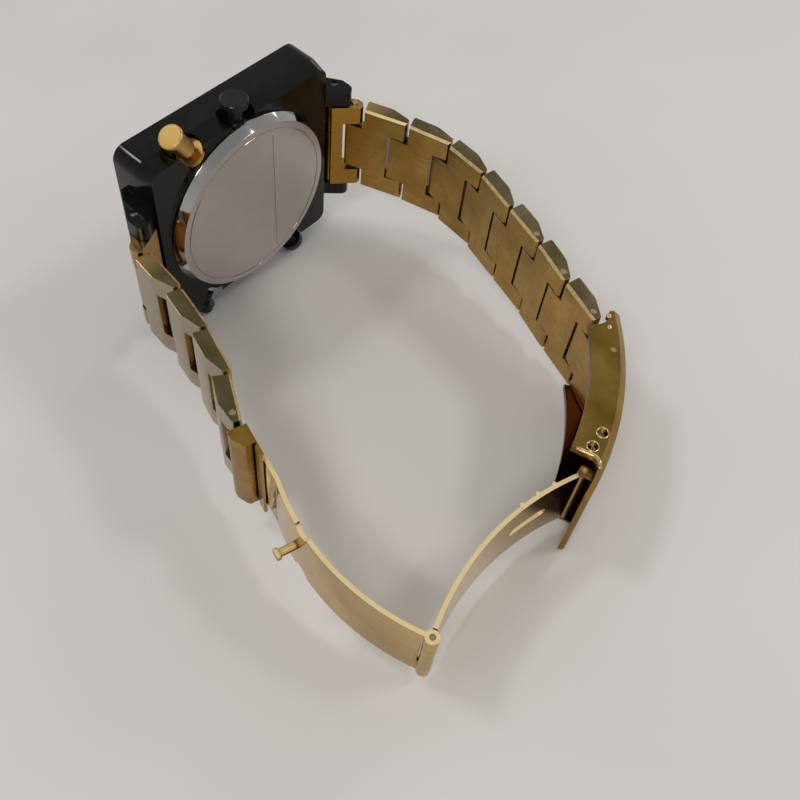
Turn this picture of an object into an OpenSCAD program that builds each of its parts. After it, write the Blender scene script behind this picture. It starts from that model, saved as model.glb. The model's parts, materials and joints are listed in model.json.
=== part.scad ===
// Quartz wrist watch with a link bracelet and an open folding clasp.
// The loop is drawn in its own plane (x from 6 to 12 o'clock, y from the case back to the dial,
// z from 9 to 3 o'clock) and is then laid on the table on its 9 o'clock side.

/* [Case] */
// Half length of the case from 6 to 12 o'clock
case_half_x = 24; // [21:0.1:28]
// Half width of the case from 9 to 3 o'clock
case_half_z = 22.6; // [20.5:0.1:26]
// Rounding of the four case corners
corner_r = 3; // [1:0.1:4]
// Height of the rear face of the case middle above the case back
rear_y = 2.3; // [1.8:0.1:3]
// Height of the crease around the case walls
crease_y = 6.2; // [5:0.1:8]
// Height of the front face of the case middle
front_y = 12.7; // [11.5:0.1:14]
// How far the rear part of the walls leans in
wall_lean = 0.9; // [0.2:0.1:1.4]
// Bevel of the front edge
front_bevel = 0.5; // [0.2:0.1:1]
// Radius of the movement chamber
chamber_r = 17.4; // [16:0.1:18]
// Radius of the dial seat
dial_seat_r = 18.2; // [17.5:0.1:19]
// Height of the dial seat
dial_seat_y = 9.6; // [8:0.1:10]

/* [Case back] */
// Radius of the flat face of the case back
back_face_r = 19.7; // [17:0.1:21]
// Radius of the case back at its wide edge
back_rim_r = 20.84; // [18:0.02:22]
// Height of the polished slope of the case back
back_slope = 1.95; // [1:0.05:2.2]
// Radius of the turned ring groove
back_groove_r = 18.24; // [15:0.02:19]
// Width of the ring groove and of the straight line
groove_w = 0.3; // [0.1:0.05:0.8]
// Depth of the ring groove and of the straight line
groove_deep = 0.15; // [0.05:0.05:0.4]
// Distance of the straight line from the middle
chord_at = 5.3; // [4:0.1:14]
// Direction in which the straight line runs
chord_turn = 0; // [-45:1:90]

/* [Front] */
// Outer radius of the bezel
bezel_r = 20.4; // [19:0.1:22]
// Inner radius of the bezel
bezel_in_r = 17.5; // [16:0.1:19]
// Height of the bezel above the case front
bezel_h = 0.9; // [0.4:0.1:2]
// Thickness of the crystal
crystal_t = 1.2; // [0.8:0.1:2]
// Width of the crystal gasket
gasket_w = 0.5; // [0.3:0.1:0.8]
// Thickness of the dial
dial_t = 0.4; // [0.3:0.1:0.8]
// Length of an hour marker
marker_l = 3; // [1.5:0.1:4]
// Length of the hour hand
hour_l = 9.5; // [7:0.1:12]
// Length of the minute hand
minute_l = 13.5; // [10:0.1:15]
// Length of the second hand
second_l = 14.5; // [10:0.1:16]

/* [Crown and pushers] */
// Height of the crown and pusher axes above the case back
axis_y = 4.5; // [4:0.1:6]
// Radius of the crown head
crown_r = 2.84; // [2:0.02:4]
// Distance of the crown's outer face from the middle
crown_out = 25.67; // [24.5:0.01:28]
// Thickness of the crown head
crown_head = 1.3; // [0.8:0.1:3]
// Radius of the crown barrel
barrel_r = 1.6; // [1.3:0.05:2.2]
// Radius of the scoop around the crown
scoop_r = 3.85; // [3:0.05:5]
// Distance of the scoop floor from the middle
scoop_at = 20; // [19:0.1:21.5]
// Angle of the gold pusher away from the crown
gold_angle = 31.7; // [25:0.1:40]
// Radius of the gold pusher's head
gold_r = 2.54; // [2:0.02:3.5]
// Distance of the gold pusher's outer face from the middle
gold_out = 30.5; // [29:0.1:33]
// Angle of each black pusher away from 9 o'clock
black_angle = 30; // [25:0.1:40]
// Radius of a black pusher's head
black_r = 2.7; // [2:0.05:3.5]
// Distance of a black pusher's outer face from the middle
black_out = 29.3; // [28:0.1:32]
// Travel of a pusher
pusher_stroke = 1.2; // [0.5:0.1:1.6]

/* [Lugs] */
// Distance of a lug bar from the case wall
lug_reach = 3.3; // [2.6:0.1:5]
// Height of a lug bar above the case back
lug_y = 3.8; // [3:0.1:5]
// Thickness of a lug
lug_t = 3.5; // [2:0.1:5]
// Play between a lug and the strap
lug_play = 0.1; // [0.05:0.01:0.3]
// Radius of a lug bar
lug_bar_r = 0.75; // [0.5:0.05:1.1]

/* [Links] */
// Width of the strap
strap_w = 22; // [18:0.5:26]
// Distance from one link pin to the next
pitch = 10.6; // [9:0.1:12]
// Distance from a link pin to the inner face of the strap
inner_n = 1.3; // [1.1:0.05:1.6]
// Height of the tall end of a link above its pin
tall_n = 2.2; // [1.8:0.1:3]
// Height of the low end of a link above its pin
low_n = 0.55; // [0.3:0.05:1.2]
// Half width of the tongue of a link
tongue_z = 5.8; // [4:0.1:7]
// Distance from a link pin to the square end of the tongue
tongue_back = 1.55; // [1.3:0.05:1.7]
// Side play of a tongue between its arms
tongue_play = 0.2; // [0.1:0.05:0.5]
// Distance from a link pin to the end of the arms
arm_end = 1.95; // [1.6:0.05:2.2]
// Distance from a link pin to the body that follows
body_start = 2.85; // [2.5:0.05:3.2]
// Distance from a link pin to the bottom of the notch
notch_deep = 2.15; // [1.8:0.05:2.6]
// Bevel of the long edges on the inner face
edge_bevel = 0.5; // [0.2:0.05:0.9]
// Radius of a link pin
pin_r = 0.6; // [0.4:0.05:0.8]
// Thickness of the closed end over a fixed link pin
pin_skin = 0.5; // [0.3:0.1:1]
// Play between a link pin and a tongue
pin_play = 0.05; // [0.03:0.01:0.1]
// Distance from a lug bar to the first link pin
end_arm = 4.9; // [4.6:0.1:5.6]
// Half width of the notch of an end link
end_notch_z = 6.65; // [6.1:0.05:7.5]
// Distance between the pins of the short link in the clasp
short_pitch = 9.2; // [8.5:0.1:10]
// Half width of the short link in the clasp
short_z = 9.4; // [8:0.1:10]

/* [Rest pose] */
// Direction from the 12 o'clock lug bar to its first pin
heading_12 = -69; // [-90:1:-50]
// Direction of the first link of the 12 o'clock chain
first_12 = -70; // [-90:1:-50]
// Turn from the first to the second link
turn_12_2 = -6; // [-30:1:10]
// Turn from the second to the third link
turn_12_3 = -20; // [-30:1:10]
// Turn from the third to the fourth link
turn_12_4 = -12; // [-30:1:10]
// Turn from the fourth to the fifth link
turn_12_5 = 0; // [-30:1:10]
// Turn from the fifth to the sixth link
turn_12_6 = -5; // [-30:1:10]
// Turn from the sixth to the seventh link
turn_12_7 = 2; // [-30:1:10]
// Turn from the seventh to the short link
turn_12_8 = -10; // [-30:1:10]
// Direction from the 6 o'clock lug bar to its first pin
heading_6 = -127; // [-150:1:-110]
// Direction of the first link of the 6 o'clock chain
first_6 = -97; // [-120:1:-80]
// Turn from the first to the second link on the 6 o'clock side
turn_6_2 = -6.5; // [-30:0.5:10]
// Turn from the second to the third link on the 6 o'clock side
turn_6_3 = -5.5; // [-30:0.5:10]
// Turn from the third to the fourth link on the 6 o'clock side
turn_6_4 = -13; // [-30:1:10]
// Direction of the bracket at the end of the 6 o'clock chain
bracket_heading = -108; // [-125:1:-95]
// Length of the bracket from its pin to the end of its leaf
bracket_long = 9.7; // [9:0.1:10.5]
// Direction of the short blade from the cover to the clasp hinge
blade_b_heading = 180; // [170:1:190]

/* [Clasp] */
// Outer radius of the curve of the cover
cover_r = 65.4; // [55:0.1:80]
// Thickness of the cover plate
cover_t = 1; // [0.8:0.1:1.4]
// Height of the cover walls with the plate
cover_h = 6.7; // [5:0.1:8]
// Thickness of a cover wall
wall_t = 1.4; // [1:0.1:1.4]
// Bevel of the outer long edges of the cover
cover_bevel = 1.3; // [0.5:0.1:1.3]
// Direction from the middle of the cover's curve to its spring bar
bar_angle = -52.4; // [-60:0.1:-45]
// Angle from the spring bar to the chain end of the cover
cover_front_turn = 8.2; // [6:0.1:10]
// Angle from the spring bar to the free end of the cover
cover_back_turn = -28.6; // [-34:0.1:-26]
// Angle from the spring bar to the pivot of the short blade
pivot_turn = -23.5; // [-25:0.1:-20]
// Distance of the blade pivot from the outer face of the cover
pivot_deep = 2.96; // [2.6:0.02:3.4]
// Distance of the spring bar from the outer face of the cover
bar_deep = 2.5; // [2.4:0.05:3]
// Radius of the scoops that free the seventh link in the cover walls
wall_scoop_r = 3.1; // [2.6:0.1:4]
// Length of the short blade from pivot to hinge
blade_b_len = 40.1; // [36:0.1:44]
// Rise of the curve of the short blade
blade_b_rise = 4.1; // [2:0.1:6]
// Rise of the curve of the long blade
blade_c_rise = 3.9; // [2:0.1:6]
// Thickness of the blades
blade_t = 0.8; // [0.6:0.05:1.2]
// Half width of the blades
blade_z = 7.8; // [6:0.1:8]
// Radius of the knuckles of the clasp hinge
knuckle_r = 1.25; // [1:0.05:1.6]
// Radius of the clasp pins
clasp_pin_r = 0.5; // [0.4:0.05:0.6]
// Length of the lock post
post_l = 4; // [3:0.1:5]
// Radius of the lock post
post_r = 0.8; // [0.6:0.05:1.2]
// Distance of the lock post from the clasp hinge
post_at = 29; // [25:0.1:33]
// Half width of the bracket
bracket_z = 10.5; // [9:0.1:11]

/* [Placement] */
// Tilt of the loop from the horizontal where it lies on the table
rest_tilt = 9.28; // [7:0.01:11]
// Shift along x which brings the outline over the origin
shift_x = 8.241; // [-20:0.001:30]
// Shift along y which brings the outline over the origin
shift_y = 38.871; // [-20:0.001:60]
// Lift which brings the lowest rims onto the table
shift_z = 25.589; // [10:0.001:40]

/* [View] */
// Sub-part to draw

/* [Hidden] */
$fn = 96;
eps = 0.01;
far = 80;
half_w = strap_w / 2;
lug_x = case_half_x + lug_reach;
ring_in_r = chamber_r - 2.4;
seal_r = chamber_r + 2.1;
cell_r = 0.32 * ring_in_r;
shank_from = chamber_r - 3.6 + pusher_stroke;
arm_z = tongue_z + tongue_play;
lug_z = half_w + lug_play;
function dir(a) = [cos(a), sin(a)];
function side(a) = [-sin(a), cos(a)];
function turned(v, a) = [v[0] * cos(a) - v[1] * sin(a), v[0] * sin(a) + v[1] * cos(a)];
function len2(v) = sqrt(v[0] * v[0] + v[1] * v[1]);
function ang(v) = (atan2(v[1], v[0]) + 360) % 360;
function arc_r(p, q, s) = (pow(len2(q - p) / 2, 2) + s * s) / (2 * s);
function arc_mid(p, q, s) = (p + q) / 2
    - (arc_r(p, q, s) - s) * [(q - p)[1], -(q - p)[0]] / len2(q - p);
h1 = first_12;
h2 = h1 + turn_12_2;
h3 = h2 + turn_12_3;
h4 = h3 + turn_12_4;
h5 = h4 + turn_12_5;
h6 = h5 + turn_12_6;
h7 = h6 + turn_12_7;
h8 = h7 + turn_12_8;
lug12 = [lug_x, lug_y];
p1 = lug12 + end_arm * dir(heading_12);
p2 = p1 + pitch * dir(h1);
p3 = p2 + pitch * dir(h2);
p4 = p3 + pitch * dir(h3);
p5 = p4 + pitch * dir(h4);
p6 = p5 + pitch * dir(h5);
p7 = p6 + pitch * dir(h6);
p8 = p7 + pitch * dir(h7);
p9 = p8 + short_pitch * dir(h8);
g1 = first_6;
g2 = g1 + turn_6_2;
g3 = g2 + turn_6_3;
g4 = g3 + turn_6_4;
lug6 = [-lug_x, lug_y];
q1 = lug6 + end_arm * dir(heading_6);
q2 = q1 + pitch * dir(g1);
q3 = q2 + pitch * dir(g2);
q4 = q3 + pitch * dir(g3);
q5 = q4 + pitch * dir(g4);
cover_mid = p9 - (cover_r - bar_deep) * dir(bar_angle);
cover_in = cover_r - cover_h;
plate_in = cover_r - cover_t;
channel_z = half_w - wall_t;
pivot_a = bar_angle + pivot_turn;
pivot = cover_mid + (cover_r - pivot_deep) * dir(pivot_a);
hinge = pivot + blade_b_len * dir(blade_b_heading);
ear_z = blade_z + 0.15;
ear_r = clasp_pin_r + 0.45;
tab_n = -1.7;
tab_start = 3.4;
tab_end = 13.4;
blade_top = q5 + tab_end * dir(bracket_heading) + tab_n * -side(bracket_heading);
b_mid = arc_mid(pivot, hinge, blade_b_rise);
b_rad = arc_r(pivot, hinge, blade_b_rise);
c_mid = arc_mid(blade_top, hinge, blade_c_rise);
c_rad = arc_r(blade_top, hinge, blade_c_rise);
tube_end = 23.1;
recess_at = 22.2;
hand_y = dial_seat_y + dial_t + 0.5;

// Lays the loop on the table.
module lay() {
    translate([shift_x, shift_y, shift_z])
        rotate([rest_tilt, 0, 0])
            children();
}

// Turns a shape built along z so that it stands on the dial axis.
module on_dial(y = 0) {
    translate([0, y, 0])
        rotate([-90, 0, 0])
            children();
}

// Turns a shape built along z to a radial axis of the crown plane.
module radial(beta) {
    translate([0, axis_y, 0])
        rotate([0, beta, 0])
            children();
}

// Extrudes an outline of the loop plane between two heights.
module prism(points, z0, z1) {
    translate([0, 0, z0])
        linear_extrude(height = z1 - z0)
            polygon(points);
}

// The same outline on both sides of the middle plane.
module both(points, z0, z1) {
    prism(points, z0, z1);
    prism(points, -z1, -z0);
}

// A round bar along z at a point of the loop plane.
module rod(p, r, z0, z1) {
    translate([p[0], p[1], z0])
        cylinder(r = r, h = z1 - z0);
}

// A round bar between two distances along the present z axis.
module bar(r, a, b) {
    translate([0, 0, a])
        cylinder(r = r, h = b - a);
}

// Sets a shape of a link at its first pin; outward is +y.
module at12(p, h) {
    translate([p[0], p[1], 0])
        rotate([0, 0, h])
            children();
}

// The same for the other chain, where outward is on the other hand.
module at6(p, h) {
    translate([p[0], p[1], 0])
        rotate([0, 0, h])
            rotate([180, 0, 0])
                children();
}

// Round posts at the corners of the case, with the same crease and bevel as its walls.
module case_corners() {
    c = corner_r;
    for (x = [-1, 1])
        for (y = [-1, 1])
            on_dial()
                translate([x * (case_half_x - c), y * (case_half_z - c), 0])
                    rotate([0, 0, 90 + 90 * x])
                        rotate_extrude()
                            polygon([[0, rear_y], [c - wall_lean, rear_y], [c, crease_y],
                                [c, front_y - front_bevel], [c - front_bevel, front_y], [0, front_y]]);
}

// Wall outline of the case for one half size, with the crease and the front bevel.
module wall_outline(h) {
    polygon([[-h + wall_lean, rear_y], [h - wall_lean, rear_y], [h, crease_y],
        [h, front_y - front_bevel], [h - front_bevel, front_y], [-h + front_bevel, front_y],
        [-h, front_y - front_bevel], [-h, crease_y]]);
}

module lug_shape(s) {
    x = lug_x;
    y = lug_y;
    pts = [[case_half_x - 1.4, rear_y + 0.6], [case_half_x - 0.3, rear_y + 0.3],
        [x - 0.95, y - 3.85], [x + 0.2, y - 4.3], [x + 1.45, y - 3.75], [x + 1.9, y - 2.6],
        [x + 1.9, y - 0.6], [x - 2.35, y + 6.3], [case_half_x - 1.4, y + 6.3]];
    for (z = [0, 1])
        mirror([0, 0, z]) {
            prism([for (p = pts) [s * p[0], p[1]]], lug_z, lug_z + lug_t);
            rod([s * (x + 0.2), y - 2.6], 1.7, lug_z, lug_z + lug_t);
        }
}

module pusher_bore(beta, r) {
    radial(beta) {
        bar(r + 0.65, recess_at, far);
        bar(1.25, chamber_r - 1, recess_at + 1);
    }
}

module case_middle() {
    color("#202328")
        lay()
            difference() {
                union() {
                    translate([0, 0, corner_r - case_half_z])
                        linear_extrude(height = 2 * (case_half_z - corner_r))
                            wall_outline(case_half_x);
                    rotate([0, -90, 0])
                        translate([0, 0, corner_r - case_half_x])
                            linear_extrude(height = 2 * (case_half_x - corner_r))
                                wall_outline(case_half_z);
                    case_corners();
                    lug_shape(1);
                    lug_shape(-1);
                }
                on_dial()
                    bar(chamber_r, -1, dial_seat_y + 1);
                on_dial()
                    bar(dial_seat_r, dial_seat_y, far);
                on_dial()
                    bar(chamber_r + 1.1, -1, rear_y + 0.7);
                on_dial()
                    difference() {
                        bar(seal_r + 0.3, -1, rear_y + 0.5);
                        bar(seal_r - 0.3, -2, rear_y + 1);
                    }
                intersection() {
                    radial(0)
                        bar(scoop_r, scoop_at, far);
                    translate([-far / 2, -far, 0])
                        cube([far, far + crease_y + 0.7, far]);
                }
                radial(0)
                    bar(1.25, chamber_r - 1, far);
                pusher_bore(-gold_angle, gold_r);
                pusher_bore(180 - black_angle, black_r);
                pusher_bore(180 + black_angle, black_r);
                for (s = [-1, 1])
                    rod([s * lug_x, lug_y], lug_bar_r, -far, far);
            }
}

module bezel() {
    color("#2a2d31")
        lay()
            on_dial(front_y)
                rotate_extrude()
                    polygon([[bezel_in_r, -0.6], [dial_seat_r, -0.6], [dial_seat_r, 0], [bezel_r, 0],
                        [bezel_r, 0.3], [bezel_r - 0.6, bezel_h], [bezel_in_r, bezel_h]]);
}

module crystal() {
    color("#cfe0ea", 0.4)
        lay()
            on_dial(front_y + bezel_h - 0.2 - crystal_t)
                cylinder(r = bezel_in_r - gasket_w, h = crystal_t);
}

module crystal_gasket() {
    color("#151515")
        lay()
            on_dial(front_y - 0.6)
                difference() {
                    cylinder(r = bezel_in_r, h = bezel_h + 0.3);
                    translate([0, 0, -1])
                        cylinder(r = bezel_in_r - gasket_w, h = 4);
                }
}

module dial() {
    color("#16181b")
        lay()
            on_dial(dial_seat_y)
                difference() {
                    cylinder(r = dial_seat_r - 0.05, h = dial_t);
                    translate([0, 0, -1])
                        cylinder(r = 1.2, h = 4);
                }
}

module dial_markers() {
    color("#c8a765")
        lay()
            on_dial(dial_seat_y + dial_t)
                for (i = [0 : 11])
                    rotate([0, 0, i * 30])
                        translate([bezel_in_r - 1 - marker_l, -0.4, 0])
                            cube([marker_l, 0.8, 0.3]);
}

module movement_ring() {
    color("#e2e0d8")
        lay()
            difference() {
                on_dial()
                    difference() {
                        bar(chamber_r - 0.03, rear_y + 1.1, dial_seat_y);
                        bar(ring_in_r, 0, far);
                    }
                radial(0)
                    bar(1.3, 0, far);
                for (b = [-gold_angle, 180 - black_angle, 180 + black_angle])
                    radial(b)
                        bar(1.3, 0, far);
            }
}

module movement() {
    color("#b9b7ad")
        lay() {
            difference() {
                on_dial()
                    bar(ring_in_r - 0.05, rear_y + 1.3, dial_seat_y - 0.02);
                on_dial(rear_y)
                    translate([-1.35 * cell_r, 0.83 * cell_r, 0])
                        cylinder(r = cell_r, h = 3.4);
                radial(0)
                    bar(0.85, chamber_r - 5.4, far);
                for (b = [-gold_angle, 180 - black_angle, 180 + black_angle])
                    radial(b)
                        bar(1.1, chamber_r - 4.4, far);
            }
            on_dial() {
                bar(0.7, dial_seat_y - 1, hand_y + 0.4);
                bar(0.5, dial_seat_y - 1, hand_y + 0.9);
                bar(0.2, dial_seat_y - 1, hand_y + 1.4);
            }
        }
}

module battery() {
    color("#c9ccd0")
        lay()
            on_dial(rear_y + 1.25)
                translate([-1.35 * cell_r, 0.83 * cell_r, 0])
                    cylinder(r = cell_r - 0.05, h = 2.1);
}

module case_back() {
    color("#9fa3a6")
        lay()
            difference() {
                on_dial()
                    rotate_extrude()
                        polygon([[0, 0], [back_face_r, 0], [back_rim_r, back_slope],
                            [back_rim_r, rear_y], [chamber_r + 1.05, rear_y],
                            [chamber_r + 1.05, rear_y + 0.65], [chamber_r - 0.6, rear_y + 0.65],
                            [chamber_r - 0.6, 1.2], [0, 1.2]]);
                on_dial()
                    difference() {
                        bar(back_groove_r + groove_w / 2, -1, groove_deep);
                        bar(back_groove_r - groove_w / 2, -2, 1);
                    }
                rotate([0, chord_turn, 0])
                    translate([chord_at, -1, -back_groove_r + 2.2])
                        cube([groove_w, 1 + groove_deep, 2 * back_groove_r - 4.4]);
            }
}

module back_gasket() {
    color("#1b1b1b")
        lay()
            on_dial(rear_y)
                difference() {
                    cylinder(r = seal_r + 0.25, h = 0.45);
                    translate([0, 0, -1])
                        cylinder(r = seal_r - 0.25, h = 3);
                }
}

module crown_tube() {
    color("#8f9194")
        lay()
            radial(0)
                difference() {
                    bar(1.25, chamber_r + 0.1, scoop_at + 0.6);
                    bar(0.75, 0, far);
                }
}

module stem() {
    color("#9a9ca0")
        lay()
            radial(0) {
                bar(0.7, chamber_r - 5, crown_out - crown_head);
            }
}

module crown() {
    color("#1b1d20")
        lay()
            radial(0)
                difference() {
                    union() {
                        bar(barrel_r, scoop_at + 0.8, crown_out - crown_head + 0.1);
                        translate([0, 0, crown_out - crown_head])
                            cylinder(r = crown_r, h = crown_head - 0.25);
                        translate([0, 0, crown_out - 0.25])
                            cylinder(r1 = crown_r, r2 = crown_r - 0.25, h = 0.25);
                    }
                    bar(0.75, 0, crown_out - crown_head);
                    for (i = [0 : 23])
                        rotate([0, 0, i * 15])
                            translate([crown_r, 0, crown_out - crown_head - 1])
                                cylinder(r = 0.16, h = crown_head + 0.6, $fn = 16);
                }
}

// One pusher: head, neck, groove and the shank that slides in its tube.
module pusher(r, out, neck, head) {
    difference() {
        union() {
            bar(r, out - head, out - 0.25);
            translate([0, 0, out - 0.25])
                cylinder(r1 = r, r2 = r - 0.25, h = 0.25);
            bar(neck, tube_end + pusher_stroke + 0.3, out - head + eps);
            bar(1, shank_from, out - head);
        }
    }
}

module pusher_4() {
    color("#d9b36a")
        lay()
            radial(-gold_angle)
                pusher(gold_r, gold_out, 2, 1);
}

module pusher_8() {
    color("#1b1d20")
        lay()
            radial(180 + black_angle)
                pusher(black_r, black_out, 1.6, 2);
}

module pusher_10() {
    color("#1b1d20")
        lay()
            radial(180 - black_angle)
                pusher(black_r, black_out, 1.6, 2);
}

module pusher_tubes() {
    color("#8f9194")
        lay()
            for (b = [[-gold_angle, gold_r], [180 - black_angle, black_r - 0.4], [180 + black_angle, black_r - 0.4]])
                radial(b[0])
                    difference() {
                        union() {
                            bar(1.25, chamber_r + 0.1, recess_at + 0.1);
                            bar(b[1] + 0.3, recess_at, tube_end);
                        }
                        bar(1.05, 0, far);
                    }
}

module lug_bars() {
    color("#8f9194")
        lay()
            for (s = [-1, 1])
                rod([s * lug_x, lug_y], lug_bar_r, -lug_z - lug_t + 0.5, lug_z + lug_t - 0.5);
}

// A hand built flat; the tip points along +x.
module hand(l, tail, w, hub, bore, t) {
    difference() {
        union() {
            linear_extrude(height = t)
                polygon([[-tail, -w / 2], [l * 0.75, -w / 2], [l, 0], [l * 0.75, w / 2],
                    [-tail, w / 2]]);
            cylinder(r = hub, h = t);
        }
        translate([0, 0, -1])
            cylinder(r = bore, h = 4);
    }
}

module hour_hand() {
    color("#d9b36a")
        lay()
            on_dial(hand_y)
                rotate([0, 0, -305])
                    hand(hour_l, 2.2, 1.3, 1.4, 0.74, 0.35);
}

module minute_hand() {
    color("#d9b36a")
        lay()
            on_dial(hand_y + 0.5)
                rotate([0, 0, -60])
                    hand(minute_l, 2.6, 1, 1.2, 0.54, 0.3);
}

module second_hand() {
    color("#e8e4da")
        lay()
            on_dial(hand_y + 0.98)
                rotate([0, 0, -210])
                    hand(second_l, 4, 0.4, 0.8, 0.24, 0.2);
}

// Cross section limits of a link: bevelled inner edges and small outer bevels.
module link_section(z) {
    t = tall_n + 0.3;
    rotate([0, 90, 0])
        translate([0, 0, -5])
            linear_extrude(height = 30)
                polygon([[z - edge_bevel, -inner_n], [z, edge_bevel - inner_n], [z, t - 0.6],
                    [z - 0.3, t], [-z + 0.3, t], [-z, t - 0.6], [-z, edge_bevel - inner_n],
                    [-z + edge_bevel, -inner_n]]);
}

// Eye and bar of a tongue around the pin at the origin.
module tongue(z) {
    rod([0, 0], inner_n, -z, z);
    prism([[0, -inner_n], [body_start + 0.6, -inner_n], [body_start + 0.6, inner_n], [0, inner_n]], -z, z);
}

// Square end of a tongue, which fills the notch of the link before it.
module tongue_end(z) {
    prism([[-tongue_back, -inner_n], [0.2, -inner_n], [0.2, inner_n], [0, inner_n],
        [0.3 - tongue_back, 0.9], [-tongue_back, 0.6]], -z, z);
}

// One link: tongue at the origin, arms around the next pin; skin closes the ends of the pin bore.
module link(skin) {
    difference() {
        union() {
            intersection() {
                prism([[body_start, -inner_n], [pitch + arm_end - 0.45, -inner_n],
                    [pitch + arm_end, -inner_n + 0.45], [pitch + arm_end, low_n - 0.3],
                    [pitch + arm_end - 0.3, low_n], [pitch - 2.75, tall_n],
                    [body_start - 0.1, tall_n - 0.05], [body_start - 0.35, tall_n - 0.5]],
                    -half_w, half_w);
                link_section(half_w);
            }
            tongue(tongue_z);
            tongue_end(tongue_z);
        }
        prism([[pitch - notch_deep, -far], [far, -far], [far, far], [pitch - notch_deep, far]], -arm_z, arm_z);
        rod([pitch, 0], pin_r, -half_w + skin, half_w - skin);
        rod([0, 0], pin_r + pin_play, -far, far);
    }
}

// The pin of a link, in its arms.
module link_pin(skin) {
    rod([pitch, 0], pin_r, -half_w + 0.1 + max(0, skin), half_w - 0.1 - max(0, skin));
}

// End link around the lug bar; inward is -y, the first pin lies on the clasp side and skin closes its bore.
end_pin = [sqrt(end_arm * end_arm - 2.3 * 2.3), -2.3];
end_turn = -atan2(end_pin[1], end_pin[0]);
module end_link(skin) {
    e = end_pin;
    bottom = e[1] - inner_n - 0.3;
    difference() {
        union() {
            prism([[-0.8, bottom], [e[0] + 1.1, bottom], [e[0] + 1.75, bottom + 0.65],
                [e[0] + 1.75, e[1] + 0.3], [e[0] + 0.9, e[1] + 1.2], [e[0] - 0.6, e[1] + 1.6],
                [1.4, 0.7], [0, 1.4], [-1.2, 1], [-1.5, 0]], -half_w, half_w);
            rod([0, 0], 1.5, -half_w, half_w);
            intersection() {
                rod([0, 0], 3.15, -half_w, half_w);
                prism([[0, 0], 9 * dir(151), 9 * dir(185), 9 * dir(225), 9 * dir(256)],
                    -half_w, half_w);
            }
        }
        prism([[e[0] - 2.6, -far], [far, -far], [far, far], [e[0] - 2.6, far]], -end_notch_z, end_notch_z);
        rod([0, 0], lug_bar_r + 0.04, -far, far);
        rod(e, pin_r, -half_w + skin, half_w - skin);
        for (z = [0, 1])
            mirror([0, 0, z])
                translate([-8, bottom - eps, half_w - edge_bevel])
                    rotate([45, 0, 0])
                        translate([0, -2, 0])
                            cube([20, 2, 2]);
    }
}

// The pin of an end link; out is how far its ends stand beyond the sides.
module end_pin_shape(out) {
    rod(end_pin, pin_r, -half_w - out, half_w + out);
}

// The narrow link that hangs in the cover.
module short_link() {
    difference() {
        union() {
            prism([[body_start, -inner_n], [short_pitch, -inner_n], [short_pitch, inner_n],
                [body_start + 2.2, tall_n - 0.6], [body_start - 0.35, tall_n - 0.6]],
                -short_z, short_z);
            rod([short_pitch, 0], inner_n, -short_z, short_z);
            tongue(tongue_z);
            tongue_end(tongue_z);
        }
        rod([short_pitch, 0], pin_r + pin_play, -far, far);
        rod([0, 0], pin_r + pin_play, -far, far);
    }
}

gold = "#a98a54";

module end_link_12() {
    color(gold)
        lay()
            at12(lug12, heading_12 + end_turn)
                end_link(-1);
}

module end_link_6() {
    color(gold)
        lay()
            at6(lug6, heading_6 - end_turn)
                end_link(pin_skin);
}

module pin_12_1() {
    color("#d8c08a")
        lay()
            at12(lug12, heading_12 + end_turn)
                end_pin_shape(0.4);
}

module pin_6_1() {
    color("#d8c08a")
        lay()
            at6(lug6, heading_6 - end_turn)
                end_pin_shape(-pin_skin - 0.1);
}

module chain_link(p, h, skin) {
    color(gold)
        lay()
            at12(p, h)
                link(skin);
}

module chain_pin(p, h, skin) {
    color("#d8c08a")
        lay()
            at12(p, h)
                link_pin(skin);
}

module link_12_1() { chain_link(p1, h1, pin_skin); }
module link_12_2() { chain_link(p2, h2, pin_skin); }
module link_12_3() { chain_link(p3, h3, pin_skin); }
module link_12_4() { chain_link(p4, h4, pin_skin); }
module link_12_5() { chain_link(p5, h5, -1); }
module link_12_6() { chain_link(p6, h6, -1); }
module link_12_7() { chain_link(p7, h7, -1); }
module pin_12_2() { chain_pin(p1, h1, pin_skin); }
module pin_12_3() { chain_pin(p2, h2, pin_skin); }
module pin_12_4() { chain_pin(p3, h3, pin_skin); }
module pin_12_5() { chain_pin(p4, h4, pin_skin); }
module pin_12_6() { chain_pin(p5, h5, -1); }
module pin_12_7() { chain_pin(p6, h6, -1); }
module pin_12_8() { chain_pin(p7, h7, -1); }

module link_12_8() {
    color(gold)
        lay()
            at12(p8, h8)
                short_link();
}

module back_link(p, h, skin) {
    color(gold)
        lay()
            at6(p, h)
                link(skin);
}

module back_pin(p, h, skin) {
    color("#d8c08a")
        lay()
            at6(p, h)
                link_pin(skin);
}

module link_6_1() { back_link(q1, g1, pin_skin); }
module link_6_2() { back_link(q2, g2, pin_skin); }
module link_6_3() { back_link(q3, g3, pin_skin); }
module link_6_4() { back_link(q4, g4, -1); }
module pin_6_2() { back_pin(q1, g1, pin_skin); }
module pin_6_3() { back_pin(q2, g2, pin_skin); }
module pin_6_4() { back_pin(q3, g3, pin_skin); }

// The two short pin ends in the arms of the last link, where the loop can be opened.
module pin_6_5() {
    color("#d8c08a")
        lay()
            for (z = [0, 1])
                mirror([0, 0, z])
                    rod(q5, pin_r, arm_z + 0.05, half_w - 0.1);
}

// Angular slice of a ring around the middle of the cover's curve.
module cover_slice(r0, r1, a0, a1, z0, z1) {
    translate([cover_mid[0], cover_mid[1], 0])
        rotate([0, 0, a0])
            rotate_extrude(angle = a1 - a0)
                polygon([[r0, z0], [r1, z0], [r1, z1], [r0, z1]]);
}

module wall_hole(r, deep, turn) {
    rod(cover_mid + (cover_r - deep) * dir(bar_angle + turn), r, -far, far);
}

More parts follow.
